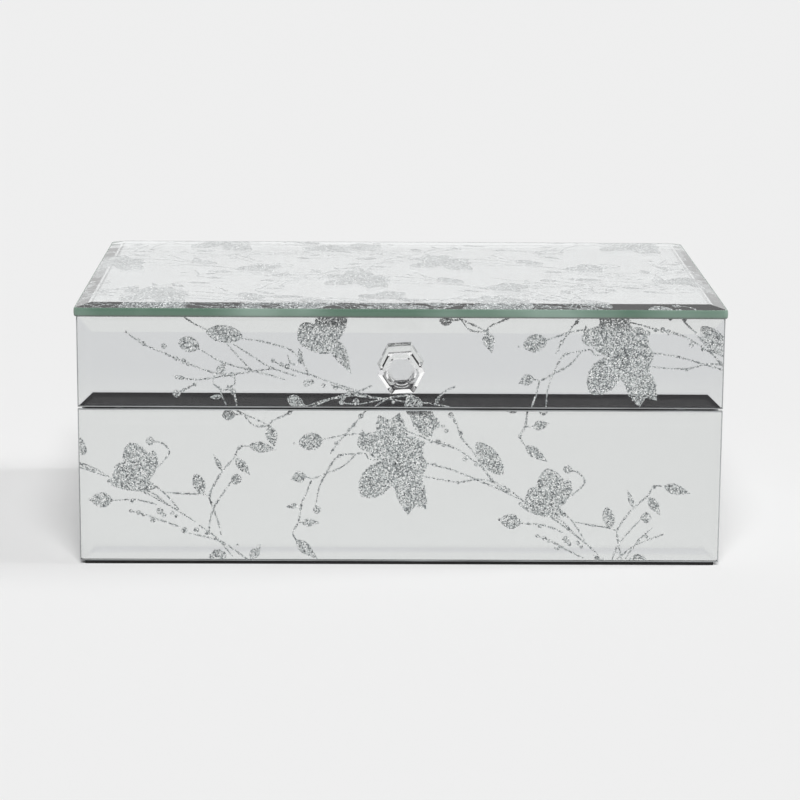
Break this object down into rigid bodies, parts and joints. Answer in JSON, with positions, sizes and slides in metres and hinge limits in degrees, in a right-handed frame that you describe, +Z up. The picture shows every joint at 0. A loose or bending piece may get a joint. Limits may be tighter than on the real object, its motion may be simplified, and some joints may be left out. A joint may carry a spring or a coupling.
{
  "type": "mirrored trinket box",
  "caption": "Low rectangular jewellery box clad in bevelled mirror glass with a glitter flower print, a hinged lid under a thick glass top and a faceted crystal knob.",
  "frame": {"origin": "middle of the felt underside, in the plane that the box stands on", "axes": "+Z up, +X along the width to the right as seen from the front, the front with the knob faces -Y and the hinges are at +Y"},
  "size_m": [0.2694, 0.1937, 0.1108],
  "materials": {
    "mirror_glass": "bevelled glass silvered behind, with a silver glitter print",
    "board": "fibreboard painted matt black",
    "felt": "black needle felt",
    "velvet": "black short-pile velvet",
    "silicone": "clear soft dot",
    "crystal": "clear polished facets",
    "hinge_nickel": "bright nickel plate",
    "hinge_steel": "plated steel"
  },
  "bodies": {
    "base": {"base_front_board": "board", "base_back_board": "board", "base_left_board": "board", "base_right_board": "board", "base_floor_board": "board", "base_felt": "felt", "base_front_glass": "mirror_glass", "base_back_glass": "mirror_glass", "base_left_glass": "mirror_glass", "base_right_glass": "mirror_glass", "base_front_lining": "velvet", "base_back_lining": "velvet", "base_left_lining": "velvet", "base_right_lining": "velvet", "base_floor_pad": "velvet", "rim_bumpers": "silicone", "left_hinge_base_leaf": "hinge_nickel", "left_hinge_pin": "hinge_steel", "right_hinge_base_leaf": "hinge_nickel", "right_hinge_pin": "hinge_steel", "base_hinge_screws": "hinge_steel"},
    "lid": {"lid_front_board": "board", "lid_back_board": "board", "lid_left_board": "board", "lid_right_board": "board", "lid_top_board": "board", "lid_front_glass": "mirror_glass", "lid_back_glass": "mirror_glass", "lid_left_glass": "mirror_glass", "lid_right_glass": "mirror_glass", "lid_top_glass": "mirror_glass", "lid_front_lining": "velvet", "lid_back_lining": "velvet", "lid_left_lining": "velvet", "lid_right_lining": "velvet", "lid_top_pad": "velvet", "lid_knob": "crystal", "left_hinge_lid_leaf": "hinge_nickel", "right_hinge_lid_leaf": "hinge_nickel", "lid_hinge_screws": "hinge_steel"}
  },
  "joints": [
    {"name": "lid_hinge", "type": "hinge", "parent": "base", "child": "lid", "pos_m": [0, 0.0912, 0.0669], "axis": [-1, 0, 0], "range_deg": [0, 95]}
  ]
}
